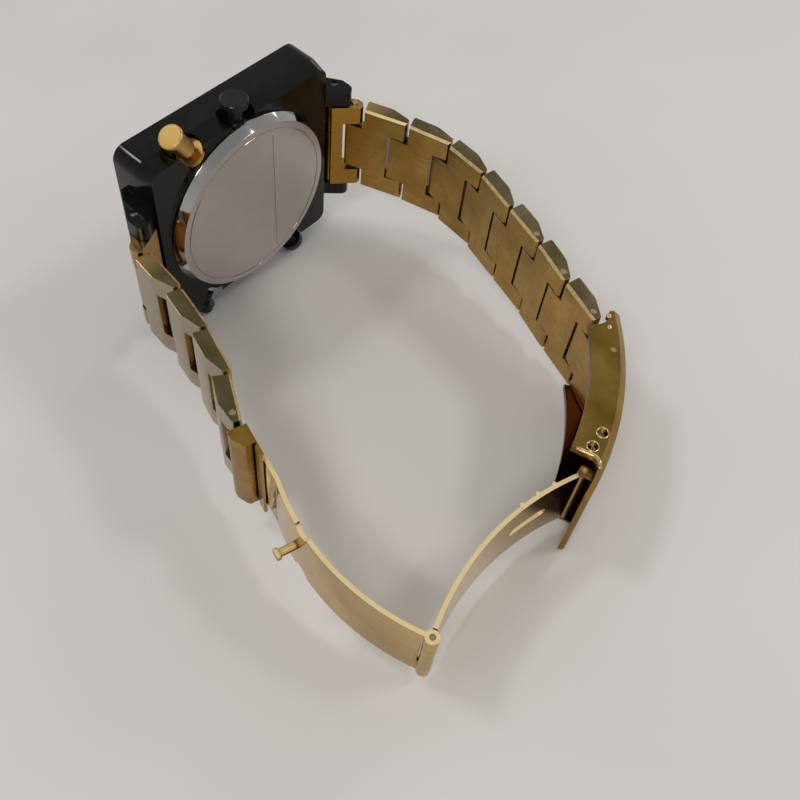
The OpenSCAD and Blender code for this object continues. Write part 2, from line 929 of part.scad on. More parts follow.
module cover() {
    c = cover_bevel;
    back = bar_angle + cover_back_turn;
    front = bar_angle + cover_front_turn;
    color("#b8975a")
        lay()
            difference() {
                union() {
                    difference() {
                        translate([cover_mid[0], cover_mid[1], 0])
                            rotate([0, 0, back])
                                rotate_extrude(angle = front - back)
                                    polygon([[cover_in, half_w], [cover_r - c, half_w],
                                        [cover_r, half_w - c], [cover_r, -half_w + c],
                                        [cover_r - c, -half_w], [cover_in, -half_w],
                                        [cover_in, -channel_z], [plate_in, -channel_z],
                                        [plate_in, channel_z], [cover_in, channel_z]]);
                        for (z = [0, 1])
                            mirror([0, 0, z]) {
                                cover_slice(cover_in - 2, cover_r - pivot_deep + 0.4, back - 1,
                                    pivot_a + 1.7, channel_z - 0.3, half_w + 1);
                                cover_slice(cover_in - 2, plate_in, back - 1, pivot_a - 0.6,
                                    channel_z - 0.3, half_w + 1);
                                rod(pivot, 1.9, channel_z - 0.3, half_w + 1);
                                rod(p8, wall_scoop_r, channel_z - 0.3, half_w + 1);
                            }
                    }
                    for (z = [0, 1])
                        mirror([0, 0, z])
                            at12(pivot, pivot_a) {
                                rod([0, 0], ear_r, ear_z, ear_z + 0.7);
                                prism([[0, -ear_r], [pivot_deep - cover_t + 0.2, -ear_r],
                                    [pivot_deep - cover_t + 0.2, ear_r], [0, ear_r]], ear_z, ear_z + 0.7);
                            }
                }
                rod(pivot, clasp_pin_r, -far, far);
                rod(p9, pin_r, -far, far);
                wall_hole(0.6, 2.5, 7.1);
                wall_hole(0.6, 2.8, 4.7);
                wall_hole(0.9, 2.6, -17);
                wall_hole(0.9, 3.4, -20.1);
            }
}

// Catch plate for the lock post, inside the cover.
module cover_catch() {
    color("#c9b27c")
        lay()
            translate([cover_mid[0], cover_mid[1], 0])
                rotate([0, 0, pivot_a + 10.4])
                    rotate([0, 90, 0])
                        difference() {
                            bar(2.6, plate_in - 1.6, plate_in - 0.06);
                            bar(post_r + 0.4, 0, plate_in - 0.5);
                        }
}

module spring_bar() {
    color("#d8c08a")
        lay()
            rod(p9, pin_r, -half_w + 0.1, half_w - 0.1);
}

module pivot_pin() {
    color("#d8c08a")
        lay()
            rod(pivot, clasp_pin_r, -ear_z - 0.75, ear_z + 0.75);
}

// A curved strip between two angles around a centre.
module strip(mid, r, a0, a1, z) {
    translate([mid[0], mid[1], 0])
        rotate([0, 0, a0])
            rotate_extrude(angle = a1 - a0)
                polygon([[r - blade_t / 2, -z], [r + blade_t / 2, -z], [r + blade_t / 2, z],
                    [r - blade_t / 2, z]]);
}

middle_z = 3.9;
side_z = 4.05;
module blade_b() {
    a_pivot = ang(pivot - b_mid);
    a_hinge = ang(hinge - b_mid);
    color("#d2ad66")
        lay()
            difference() {
                union() {
                    strip(b_mid, b_rad, a_pivot + 0.5, a_hinge - 0.5, blade_z);
                    rod(pivot, 1, -blade_z, blade_z);
                    rod(hinge, knuckle_r, -middle_z, middle_z);
                    for (z = [0, 1])
                        mirror([0, 0, z])
                            for (i = [1.6 : 1 : 3.7])
                                rod(b_mid + (b_rad + blade_t / 2) * dir(a_pivot + 4 * i), 0.45,
                                    blade_z - 0.9, blade_z);
                }
                for (z = [0, 1])
                    mirror([0, 0, z])
                        rod(hinge, knuckle_r + 0.25, middle_z, far);
                rod(pivot, clasp_pin_r + pin_play, -far, far);
                rod(hinge, clasp_pin_r, -far, far);
                translate([b_mid[0], b_mid[1], 0])
                    rotate([0, 0, a_pivot + 12])
                        rotate([0, 90, 0]) {
                            translate([-1.2, -3, 0])
                                cube([2.4, 6, far]);
                            for (s = [-3, 3])
                                translate([0, s, 0])
                                    cylinder(r = 1.2, h = far);
                        }
            }
}

module hinge_pin() {
    color("#d8c08a")
        lay()
            rod(hinge, clasp_pin_r, -blade_z + 0.1, blade_z - 0.1);
}

module blade_c() {
    a_top = ang(blade_top - c_mid);
    a_hinge = ang(hinge - c_mid);
    color("#d2ad66")
        lay()
            difference() {
                union() {
                    strip(c_mid, c_rad, a_top, a_hinge - 0.6, blade_z);
                    at6(q5, bracket_heading)
                        prism([[tab_start, tab_n - blade_t / 2], [tab_end + 0.1, tab_n - blade_t / 2],
                            [tab_end + 0.1, tab_n + blade_t / 2], [tab_start, tab_n + blade_t / 2]],
                            -blade_z, blade_z);
                    for (z = [0, 1])
                        mirror([0, 0, z])
                            rod(hinge, knuckle_r, side_z, blade_z);
                }
                rod(hinge, knuckle_r + 0.25, -side_z, side_z);
                rod(hinge, clasp_pin_r + pin_play, -far, far);
                translate([c_mid[0], c_mid[1], 0])
                    rotate([0, 0, a_hinge - post_at / c_rad * 57.3])
                        rotate([0, 90, 0]) {
                            cylinder(r = post_r, h = far);
                            for (s = [-1, 1])
                                translate([s * (blade_z + 0.4), 1.6, 0])
                                    cylinder(r = 1.9, h = far);
                        }
            }
}

// Post that snaps into the catch of the cover.
module lock_post() {
    a_hinge = ang(hinge - c_mid);
    color("#e0bd76")
        lay()
            translate([c_mid[0], c_mid[1], 0])
                rotate([0, 0, a_hinge - post_at / c_rad * 57.3])
                    rotate([0, 90, 0]) {
                        bar(post_r, c_rad - blade_t / 2, c_rad + blade_t / 2 + post_l);
                        bar(post_r + 0.35, c_rad + blade_t / 2 + post_l - 0.8,
                            c_rad + blade_t / 2 + post_l);
                    }
}

// Folded bracket between the last link and the long blade, with a leaf that lies on the blade.
module bracket() {
    base = tab_n + blade_t / 2 + 0.02;
    leaf = bracket_long;
    color("#a98a54")
        lay()
            at6(q5, bracket_heading)
                difference() {
                    union() {
                        prism([[body_start - 0.1, base], [leaf - 0.3, base], [leaf, base + 0.35],
                            [leaf - 0.3, base + 0.7], [leaf - 2.3, base + 0.7], [leaf - 2.3, base + 0.3],
                            [leaf - 2.9, base + 0.3], [leaf - 2.9, inner_n - 0.5], [leaf - 3.3, inner_n],
                            [leaf - 5.1, tall_n + 0.1], [body_start + 0.3, tall_n + 0.2],
                            [body_start - 0.1, tall_n - 0.2]],
                            -bracket_z, bracket_z);
                        tongue(tongue_z);
                    }
                    rod([0, 0], pin_r + pin_play, -far, far);
                }
}

// Sprung bar in the tongue of the bracket; its tips stand back from the arms.
module bracket_bar() {
    color("#d8c08a")
        lay()
            rod(q5, pin_r, -tongue_z + 0.05, tongue_z - 0.05);
}

case_middle();
bezel();
crystal();
crystal_gasket();
dial();
dial_markers();
movement_ring();
movement();
battery();
case_back();
back_gasket();
crown_tube();
pusher_tubes();
lug_bars();
hour_hand();
minute_hand();
second_hand();
crown();
stem();
pusher_4();
pusher_8();
pusher_10();
end_link_12();
link_12_1();
link_12_2();
link_12_3();
link_12_4();
link_12_5();
link_12_6();
link_12_7();
link_12_8();
pin_12_1();
pin_12_2();
pin_12_3();
pin_12_4();
pin_12_5();
pin_12_6();
pin_12_7();
pin_12_8();
spring_bar();
end_link_6();
link_6_1();
link_6_2();
link_6_3();
link_6_4();
pin_6_1();
pin_6_2();
pin_6_3();
pin_6_4();
pin_6_5();
cover();
cover_catch();
pivot_pin();
blade_b();
hinge_pin();
blade_c();
lock_post();
bracket();
bracket_bar();
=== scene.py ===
import json
import math

import bmesh
import bpy
from mathutils import Matrix, Quaternion, Vector

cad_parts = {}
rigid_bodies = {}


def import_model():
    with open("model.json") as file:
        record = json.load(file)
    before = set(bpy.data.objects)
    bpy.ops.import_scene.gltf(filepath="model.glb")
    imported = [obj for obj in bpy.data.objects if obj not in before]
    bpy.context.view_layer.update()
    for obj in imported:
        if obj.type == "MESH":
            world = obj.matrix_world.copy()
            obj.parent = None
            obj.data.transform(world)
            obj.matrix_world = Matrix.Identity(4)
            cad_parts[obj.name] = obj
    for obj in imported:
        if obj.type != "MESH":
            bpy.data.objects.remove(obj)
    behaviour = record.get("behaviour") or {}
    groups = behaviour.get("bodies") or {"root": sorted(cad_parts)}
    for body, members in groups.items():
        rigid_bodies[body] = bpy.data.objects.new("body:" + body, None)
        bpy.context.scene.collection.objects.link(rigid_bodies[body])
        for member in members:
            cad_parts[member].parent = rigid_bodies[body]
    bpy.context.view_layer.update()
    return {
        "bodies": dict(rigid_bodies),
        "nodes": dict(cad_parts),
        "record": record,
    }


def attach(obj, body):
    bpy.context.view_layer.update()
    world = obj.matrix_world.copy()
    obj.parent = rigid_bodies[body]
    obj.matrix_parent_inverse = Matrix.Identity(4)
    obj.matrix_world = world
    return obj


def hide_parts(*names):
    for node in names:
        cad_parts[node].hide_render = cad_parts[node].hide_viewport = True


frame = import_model()
MM = 0.001

# Loop frame: the strap's plane, which is tilted and shifted onto the table.
TILT = math.radians(9.28)
SHIFT = Vector((8.241, 38.871, 25.589)) * MM
LAY = Matrix.Translation(SHIFT) @ Matrix.Rotation(TILT, 4, "X")
BODY_OF = {}
for body, empty in frame["bodies"].items():
    for child in empty.children:
        BODY_OF[child.name] = body

# In millimetres: what brings the middle of the loop, or of the case's front plane, to zero.
TURNED = Matrix.Rotation(-TILT, 3, "X") @ SHIFT / MM
LOOP_BEHIND_CASE = 40
LOOP_MIDDLE = (-TURNED.x, LOOP_BEHIND_CASE - TURNED.y, 0)
CASE_MIDDLE = (-TURNED.x, -TURNED.y, -TURNED.z)


# Node helpers.
class Nodes:
    """Short hand for building one material's node tree."""

    def __init__(self, name):
        self.mat = bpy.data.materials.new(name)
        self.mat.use_nodes = True
        self.tree = self.mat.node_tree
        self.bsdf = self.tree.nodes["Principled BSDF"]
        self.coord = self.tree.nodes.new("ShaderNodeTexCoord")

    def new(self, kind, **facts):
        node = self.tree.nodes.new(kind)
        for key, value in facts.items():
            setattr(node, key, value)
        return node

    def link(self, a, b):
        self.tree.links.new(a, b)

    def loop_coords(self, scale=(1, 1, 1)):
        """Object coordinates turned into the loop's own frame, in units of 1 mm times scale."""
        turn = self.new("ShaderNodeMapping", vector_type="POINT")
        turn.inputs["Rotation"].default_value = (-TILT, 0, 0)
        self.link(self.coord.outputs["Object"], turn.inputs["Vector"])
        size = self.new("ShaderNodeMapping", vector_type="POINT")
        size.inputs["Scale"].default_value = tuple(1000 * s for s in scale)
        self.link(turn.outputs["Vector"], size.inputs["Vector"])
        return size.outputs["Vector"]

    def case_coords(self):
        """Millimetres from the middle of the case's front plane, along the case's own axes."""
        node = self.new("ShaderNodeVectorMath", operation="ADD")
        self.link(self.loop_coords(), node.inputs[0])
        node.inputs[1].default_value = CASE_MIDDLE
        return node.outputs["Vector"]

    def noise(self, vector, scale=1.0, detail=3.0, rough=0.5):
        node = self.new("ShaderNodeTexNoise")
        node.inputs["Scale"].default_value = scale
        node.inputs["Detail"].default_value = detail
        node.inputs["Roughness"].default_value = rough
        self.link(vector, node.inputs["Vector"])
        return node.outputs["Fac"]

    def ramp(self, value, stops):
        node = self.new("ShaderNodeValToRGB")
        ramp = node.color_ramp
        while len(ramp.elements) < len(stops):
            ramp.elements.new(0.5)
        for element, (at, col) in zip(ramp.elements, stops):
            element.position = at
            element.color = (*col, 1)
        self.link(value, node.inputs["Fac"])
        return node.outputs["Color"]

    def spread(self, value, low, high):
        """A noise value, which mostly lies between 0.3 and 0.7, stretched over low to high."""
        node = self.new("ShaderNodeMapRange")
        node.inputs["From Min"].default_value = 0.3
        node.inputs["From Max"].default_value = 0.7
        node.inputs["To Min"].default_value = low
        node.inputs["To Max"].default_value = high
        self.link(value, node.inputs["Value"])
        return node.outputs["Result"]

    def math(self, operation, a, b=None):
        node = self.new("ShaderNodeMath", operation=operation)
        for slot, value in enumerate((a, b)):
            if value is None:
                continue
            if isinstance(value, (int, float)):
                node.inputs[slot].default_value = value
            else:
                self.link(value, node.inputs[slot])
        return node.outputs[0]

    def between(self, value, low, high):
        """0 below low, 1 above high, smooth in between."""
        node = self.new("ShaderNodeMapRange", interpolation_type="SMOOTHSTEP")
        node.inputs["From Min"].default_value = low
        node.inputs["From Max"].default_value = high
        self.link(value, node.inputs["Value"])
        return node.outputs["Result"]

    def blend(self, fac, a, b):
        """Colour a where fac is 0 and colour b where it is 1."""
        node = self.new("ShaderNodeMix", data_type="RGBA")
        self.link(fac, node.inputs[0])
        for slot, value in ((6, a), (7, b)):
            if isinstance(value, tuple):
                node.inputs[slot].default_value = (*value, 1)
            else:
                self.link(value, node.inputs[slot])
        return node.outputs[2]

    def loop_normal(self):
        """The surface normal in the loop's own frame."""
        turn = self.new("ShaderNodeMapping", vector_type="VECTOR")
        turn.inputs["Rotation"].default_value = (-TILT, 0, 0)
        self.link(self.coord.outputs["Normal"], turn.inputs["Vector"])
        return turn.outputs["Vector"]

    def parts(self, vector):
        """The X, Y and Z sockets of a vector."""
        node = self.new("ShaderNodeSeparateXYZ")
        self.link(vector, node.inputs["Vector"])
        return node.outputs

    def outward(self):
        """+1 on faces that look out of the strap loop, -1 on faces that look into it."""
        flat = self.new("ShaderNodeVectorMath", operation="MULTIPLY_ADD")
        self.link(self.loop_coords(), flat.inputs[0])
        flat.inputs[1].default_value = (1, 1, 0)
        flat.inputs[2].default_value = LOOP_MIDDLE
        unit = self.new("ShaderNodeVectorMath", operation="NORMALIZE")
        self.link(flat.outputs["Vector"], unit.inputs[0])
        dot = self.new("ShaderNodeVectorMath", operation="DOT_PRODUCT")
        self.link(unit.outputs["Vector"], dot.inputs[0])
        self.link(self.loop_normal(), dot.inputs[1])
        return dot.outputs["Value"]

    def upness(self):
        """1 on faces square to the loop's z axis, which are the sides of the strap, else less."""
        return self.math("ABSOLUTE", self.parts(self.loop_normal())["Z"])

    def painted_gap_shade(self, reach):
        """Painted shade: 1 deep in gaps and corners, where the ambient occlusion is strong, 0 on
        open faces; reach is in millimetres.
        """
        node = self.new("ShaderNodeAmbientOcclusion")
        node.samples = 6
        node.inputs["Distance"].default_value = reach * MM
        return self.math("SUBTRACT", 1.0, self.between(node.outputs["AO"], 0.35, 0.85))

    def bump(self, height, strength, distance):
        node = self.new("ShaderNodeBump")
        node.inputs["Strength"].default_value = strength
        node.inputs["Distance"].default_value = distance
        self.link(height, node.inputs["Height"])
        return node.outputs["Normal"]


# Hairlines run along the strap: the noise is stretched in the loop's plane.
BRUSH = (0.15, 0.15, 9.0)
BRUSH_DEEP = 0.00004


def metal(name, low, high, rough, brush_bump=0.12, mottle=0.12,
          side_reflection_colours=None, outer=None, gap_shade_colour=None, painted_gap_shade=1.2, finish=None):
    """Brushed or polished metal: colour mottle, hairlines, fine bump and painted shade in the gaps.

    The side colours paint the reflection on the strap's side faces, the outer colour paints the
    table's pale reflection on the faces that look out of the loop and the gap colour paints shade
    into the gaps, to the given reach in millimetres; finish may change colour and roughness
    further.
    """
    m = Nodes(name)
    m.bsdf.inputs["Metallic"].default_value = 1.0
    clouds = m.noise(m.loop_coords(), scale=mottle, detail=4.0, rough=0.55)
    hair = m.noise(m.loop_coords(BRUSH), scale=1.0, detail=3.0, rough=0.6)
    mix = m.math("ADD", m.math("MULTIPLY", hair, 0.45), m.math("MULTIPLY", clouds, 0.55))
    colour = m.ramp(mix, [(0.34, low), (0.66, high)])
    roughness = m.spread(mix, rough[0], rough[1])
    # Painted reflection: faces that look out of the loop take the pale colour of the table they
    # reflect.
    if outer:
        colour = m.blend(m.between(m.outward(), 0.15, 0.45), colour, outer)
    # Painted reflection: the strap's side faces take the colour of what they reflect.
    if side_reflection_colours:
        side = m.between(m.math("ADD", m.upness(), m.math("MULTIPLY", clouds, 0.2)), 0.75, 0.95)
        colour = m.blend(side, colour, m.ramp(clouds, [(0.35, side_reflection_colours[0]), (0.65, side_reflection_colours[1])]))
    if finish:
        colour, roughness = finish(m, colour, roughness, clouds)
    # Painted shade: gaps and corners are darkened by ambient occlusion.
    if gap_shade_colour:
        colour = m.blend(m.painted_gap_shade(painted_gap_shade), colour, gap_shade_colour)
    m.link(colour, m.bsdf.inputs["Base Color"])
    m.link(roughness, m.bsdf.inputs["Roughness"])
    if brush_bump:
        m.link(m.bump(hair, brush_bump, BRUSH_DEEP), m.bsdf.inputs["Normal"])
    return m.mat


def amber_at_case(m, colour, roughness, clouds):
    """Links next to the case are a deeper amber, with a painted highlight on their side faces; all
    have brown spots and chamfers painted pale as a highlight.
    """
    near = m.between(m.parts(m.case_coords())["Y"], -9.0, -3.5)
    inward = m.between(m.math("MULTIPLY", m.outward(), -1.0), 0.0, 0.4)
    colour = m.blend(m.math("MULTIPLY", near, inward), colour, (0.46, 0.24, 0.045))
    fine = m.noise(m.loop_coords(), scale=0.9, detail=5.0, rough=0.65)
    spots = m.math("MULTIPLY", m.between(fine, 0.58, 0.70), 0.55)
    colour = m.blend(spots, colour, (0.22, 0.12, 0.035))
    upness = m.upness()
    side = m.between(upness, 0.8, 0.92)
    # Painted highlight: side faces next to the case are made paler, as if lit.
    colour = m.blend(m.math("MULTIPLY", near, side), colour, (0.52, 0.35, 0.13))
    # Painted highlight: chamfers get a pale, rough, less metallic colour of random strength.
    chamfer = m.math("MULTIPLY", m.between(upness, 0.4, 0.6), m.math("SUBTRACT", 1.0, side))
    edge_highlight = m.math("MULTIPLY", chamfer, m.spread(fine, 0.2, 0.9))
    return painted_edge_highlight(m, colour, roughness, edge_highlight, (0.85, 0.66, 0.34))


def painted_shade_inside(m, colour, roughness, clouds):
    """Painted shade: the wrist side and inner walls of the cover are painted a dark maroon; the
    bracket is amber.
    """
    inward = m.between(m.math("MULTIPLY", m.outward(), -1.0), -0.1, 0.35)
    across = m.math("MULTIPLY", m.parts(m.case_coords())["Z"], m.parts(m.loop_normal())["Z"])
    walls = m.between(m.math("MULTIPLY", across, -1.0), 3.0, 6.0)
    # Painted shade: faces toward the wrist and the inner walls turn a near black maroon.
    colour = m.blend(m.math("MAXIMUM", inward, walls), colour, (0.045, 0.014, 0.005))
    bracket = m.between(m.math("MULTIPLY", m.parts(m.case_coords())["X"], -1.0), 34.0, 36.0)
    amber = m.ramp(clouds, [(0.35, (0.30, 0.155, 0.025)), (0.65, (0.50, 0.30, 0.07))])
    return m.blend(bracket, colour, amber), roughness


def painted_edge_highlight(m, colour, roughness, mask, pale):
    """Painted highlight: edges turned to a pale, rougher, less metallic colour, standing for lit
    bevels.
    """
    m.link(m.math("SUBTRACT", 1.0, m.math("MULTIPLY", mask, 0.6)), m.bsdf.inputs["Metallic"])
    rough = m.math("ADD", roughness, m.math("MULTIPLY", mask, 0.25))
    return m.blend(mask, colour, pale), rough


def painted_blade_edge_highlight(m, colour, roughness, clouds):
    """Painted highlight: the narrow edges of the folding blades are painted pale."""
    return painted_edge_highlight(m, colour, roughness, m.between(m.upness(), 0.35, 0.6), (0.98, 0.77, 0.39))


def gold_collar(m, colour, roughness, clouds):
    """The tube beside the gold pusher is gold; the other small steel parts stay grey."""
    at = m.parts(m.case_coords())
    left = m.math("LESS_THAN", at["X"], -4.0)
    top = m.math("GREATER_THAN", at["Z"], 15.0)
    return m.blend(m.math("MULTIPLY", left, top), colour, (0.70, 0.42, 0.12)), roughness


def polished_slope(m, colour, roughness, clouds):
    """Satin flat face inside a mirror polished slope."""
    facing = m.math("MULTIPLY", m.parts(m.loop_normal())["Y"], -1.0)
    flat = m.between(facing, 0.93, 0.985)
    smooth = m.math("ADD", 0.07, m.math("MULTIPLY", flat, m.spread(clouds, 0.20, 0.27)))
    return m.blend(flat, (0.47, 0.455, 0.43), colour), smooth


# Below, the gap colours are painted shade, the side-face and outer colours are painted reflections
# and the edge finishes paint highlights; the cover's finish paints shade on its inside.
MATS = {
    "link_gold": metal("link_gold", (0.31, 0.175, 0.036), (0.60, 0.38, 0.11), (0.18, 0.32),
                       side_reflection_colours=((0.17, 0.13, 0.060), (0.27, 0.215, 0.115)), outer=(0.40, 0.33, 0.23),
                       gap_shade_colour=(0.085, 0.035, 0.010), finish=amber_at_case),
    "pin_gold": metal("pin_gold", (0.62, 0.45, 0.22), (0.78, 0.60, 0.32), (0.14, 0.24)),
    "cover_gold": metal("cover_gold", (0.25, 0.145, 0.033), (0.40, 0.25, 0.065), (0.18, 0.32),
                        side_reflection_colours=((0.29, 0.175, 0.032), (0.42, 0.27, 0.062)),
                        gap_shade_colour=(0.03, 0.010, 0.004), finish=painted_shade_inside),
    "blade_gold": metal("blade_gold", (0.32, 0.19, 0.052), (0.72, 0.50, 0.19), (0.10, 0.20),
                        mottle=0.05,
                        gap_shade_colour=(0.10, 0.04, 0.012), painted_gap_shade=0.8, finish=painted_blade_edge_highlight),
    "pusher_gold": metal("pusher_gold", (0.58, 0.36, 0.11), (0.72, 0.47, 0.17), (0.34, 0.44)),
    "marker_gold": metal("marker_gold", (0.70, 0.52, 0.26), (0.80, 0.62, 0.34), (0.2, 0.3)),
    "back_steel": metal("back_steel", (0.50, 0.465, 0.445), (0.57, 0.535, 0.515), (0.2, 0.3),
                        brush_bump=0.0,
                        gap_shade_colour=(0.10, 0.09, 0.085), painted_gap_shade=0.35, finish=polished_slope),
    "steel": metal("steel", (0.40, 0.39, 0.37), (0.52, 0.51, 0.49), (0.28, 0.4),
                   finish=gold_collar),
    "movement_metal": metal("movement_metal", (0.5, 0.48, 0.42), (0.66, 0.64, 0.56), (0.3, 0.45)),
}


GRAIN_DEEP = 0.00003


def lacquer(name, low, high, rough, shine=0.5):
    """Painted, plated or moulded surface with faint clouds and a fine grain."""
    m = Nodes(name)
    clouds = m.noise(m.loop_coords(), scale=0.35, detail=5.0)
    m.link(m.ramp(clouds, [(0.3, low), (0.7, high)]), m.bsdf.inputs["Base Color"])
    m.link(m.spread(clouds, rough[0], rough[1]), m.bsdf.inputs["Roughness"])
    m.bsdf.inputs["Specular IOR Level"].default_value = shine
    fine = m.noise(m.loop_coords(), scale=6.0, detail=2.0)
    m.link(m.bump(fine, 0.05, GRAIN_DEEP), m.bsdf.inputs["Normal"])
    return m.mat


MATS.update({
    "case_black": lacquer("case_black", (0.004, 0.004, 0.003), (0.008, 0.009, 0.006), (0.07, 0.14),
                          shine=0.25),
    "crown_black": lacquer("crown_black", (0.006, 0.009, 0.008), (0.012, 0.015, 0.013),
                           (0.16, 0.26), shine=0.35),
    "dial_black": lacquer("dial_black", (0.010, 0.010, 0.012), (0.02, 0.02, 0.024), (0.3, 0.5)),
    "seal": lacquer("seal", (0.01, 0.01, 0.01), (0.02, 0.02, 0.02), (0.5, 0.7)),
    "ring_plastic": lacquer("ring_plastic", (0.62, 0.61, 0.57), (0.72, 0.71, 0.67), (0.4, 0.5)),
    "hand_light": lacquer("hand_light", (0.75, 0.73, 0.68), (0.82, 0.80, 0.76), (0.3, 0.4)),
})


def glass():
    """Clear crystal."""
    m = Nodes("crystal")
    m.bsdf.inputs["Base Color"].default_value = (1, 1, 1, 1)
    m.bsdf.inputs["Transmission Weight"].default_value = 1.0
    m.bsdf.inputs["IOR"].default_value = 1.5
    fine = m.noise(m.loop_coords(), scale=0.6, detail=2.0)
    m.link(m.spread(fine, 0.0, 0.03), m.bsdf.inputs["Roughness"])
    return m.mat


MATS["crystal"] = glass()

SLOT_OF = {p["node"]: p["material_slot"] for p in frame["record"]["subparts"]}


# Dressed copies of the CAD nodes.
SHARP = math.radians(28)
SAME_POINT = 2e-7
FLAT = math.radians(0.6)


def dressed(node, bevel, round_edge):
    """A copy of a CAD node whose flat faces are whole again and whose edges are rounded.

    bevel is in millimetres; round_edge gives thin sheet a fully round edge.
    """
    mesh = frame["nodes"][node].data.copy()
    mesh.name = node + "_dressed"
    bm = bmesh.new()
    bm.from_mesh(mesh)
    bmesh.ops.remove_doubles(bm, verts=bm.verts, dist=SAME_POINT)
    bmesh.ops.dissolve_limit(bm, angle_limit=FLAT, verts=bm.verts, edges=bm.edges)
    bm.normal_update()
    bm.to_mesh(mesh)
    bm.free()
    for name in [a.name for a in mesh.attributes if a.name == "custom_normal"]:
        mesh.attributes.remove(mesh.attributes[name])
    mesh.materials.clear()
    slot = SLOT_OF[node]
    mesh.materials.append(MATS[slot])
    for poly in mesh.polygons:
        poly.use_smooth = True
    mesh.set_sharp_from_angle(angle=SHARP)
    piece = bpy.data.objects.new(node + "_piece", mesh)
    bpy.context.scene.collection.objects.link(piece)
    mod = piece.modifiers.new("edges", "BEVEL")
    mod.width = bevel * MM
    mod.segments = 4 if round_edge else 2
    mod.limit_method = "ANGLE"
    mod.angle_limit = SHARP
    mod.use_clamp_overlap = True
    mod.harden_normals = False
    mod.miter_outer = "MITER_ARC"
    if not round_edge:
        weigh = piece.modifiers.new("normals", "WEIGHTED_NORMAL")
        weigh.keep_sharp = False
        weigh.weight = 80
    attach(piece, BODY_OF[node])
    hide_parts(node)


def carried(node):
    """A CAD node that is shown as it is, with its finished material."""
    obj = frame["nodes"][node]
    obj.data.materials.clear()
    obj.data.materials.append(MATS[SLOT_OF[node]])


# Bevel widths in millimetres.
LINK_BEVEL = 0.26
DRESSED = {"case_middle": 0.15, "bezel": 0.1, "case_back": 0.08, "crown": 0.08,
           "pusher_4": 0.12, "pusher_8": 0.12, "pusher_10": 0.12,
           "cover": 0.2, "blade_b": 0.34, "blade_c": 0.34, "bracket": 0.2,
           "end_link_12": LINK_BEVEL, "end_link_6": LINK_BEVEL, "lock_post": 0.12}
for i in range(1, 9):
    DRESSED["link_12_%d" % i] = LINK_BEVEL
for i in range(1, 5):
    DRESSED["link_6_%d" % i] = LINK_BEVEL

for node in sorted(frame["nodes"]):
    if node in DRESSED:
        dressed(node, DRESSED[node], round_edge=node.startswith("blade"))
    else:
        carried(node)


# Small details of the clasp cover's upper wall.
def finished(bm, name, body, slot):
    """A piece from mm in the loop's frame, laid on the table and riding on its body."""
    bmesh.ops.scale(bm, vec=(MM, MM, MM), verts=bm.verts)
    bmesh.ops.transform(bm, matrix=LAY, verts=bm.verts)
    bmesh.ops.recalc_face_normals(bm, faces=bm.faces)
    mesh = bpy.data.meshes.new(name)
    bm.to_mesh(mesh)
    bm.free()
    for poly in mesh.polygons:
        poly.use_smooth = True
    mesh.materials.append(MATS[slot])
    piece = bpy.data.objects.new(name, mesh)
    bpy.context.scene.collection.objects.link(piece)
    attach(piece, body)


SIDES = 32


def turned(name, body, at, profile, slot):
    """A piece turned about the loop's z axis; profile is (radius, height) pairs in mm."""
    bm = bmesh.new()
    rings = []
    for radius, height in profile:
        if radius == 0:
            rings.append([bm.verts.new((at[0], at[1], at[2] + height))])
            continue
        ring = []
        for k in range(SIDES):
            a = 2 * math.pi * k / SIDES
            ring.append(bm.verts.new((at[0] + radius * math.cos(a), at[1] + radius * math.sin(a),
                                      at[2] + height)))
        rings.append(ring)
    for upper, lower in zip(rings, rings[1:]):
        for k in range(SIDES):
            a, b = upper[k % len(upper)], upper[(k + 1) % len(upper)]
            c, d = lower[(k + 1) % len(lower)], lower[k % len(lower)]
            bm.faces.new(list(dict.fromkeys((a, b, c, d))))
    finished(bm, name, body, slot)


def bead(name, body, path, section, slot):
    """A rounded rim along a path of (x, y, z) points in mm; section is (across, up) pairs."""
    bm = bmesh.new()
    rings = []
    for k, (x, y, z) in enumerate(path):
        before, after = path[max(k - 1, 0)], path[min(k + 1, len(path) - 1)]
        dx, dy = after[0] - before[0], after[1] - before[1]
        size = math.hypot(dx, dy)
        rings.append([bm.verts.new((x - dy / size * across, y + dx / size * across, z + up))
                      for across, up in section])
    for one, two in zip(rings, rings[1:]):
        for k in range(len(section)):
            n = (k + 1) % len(section)
            bm.faces.new((one[k], one[n], two[n], two[k]))
    bm.faces.new(rings[0])
    bm.faces.new(rings[-1])
    finished(bm, name, body, slot)


# The cover's arc in the loop's plane, in millimetres and degrees, as the CAD part has it.
COVER_MIDDLE = (-23.4703, -29.4290)
COVER_R = 65.4
COVER_CHAMFER = 1.3
BAR_ANGLE = -52.4
HALF_STRAP = 11
PIVOT_TURN = -23.5
PIVOT_DEEP = 2.96


def on_cover(deep, turn):
    """Point on the upper wall, deep below the outer face and turned from the bar's angle."""
    a = math.radians(BAR_ANGLE + turn)
    r = COVER_R - deep
    return COVER_MIDDLE[0] + r * math.cos(a), COVER_MIDDLE[1] + r * math.sin(a), HALF_STRAP


def beside_pivot(side, out):
    """Point on the upper wall, side round the cover and out from the clasp pivot."""
    a = math.radians(BAR_ANGLE + PIVOT_TURN)
    deep = PIVOT_DEEP - out
    x, y, high = on_cover(deep, PIVOT_TURN)
    return x - side * math.sin(a), y + side * math.cos(a), high - max(0.0, COVER_CHAMFER - deep)


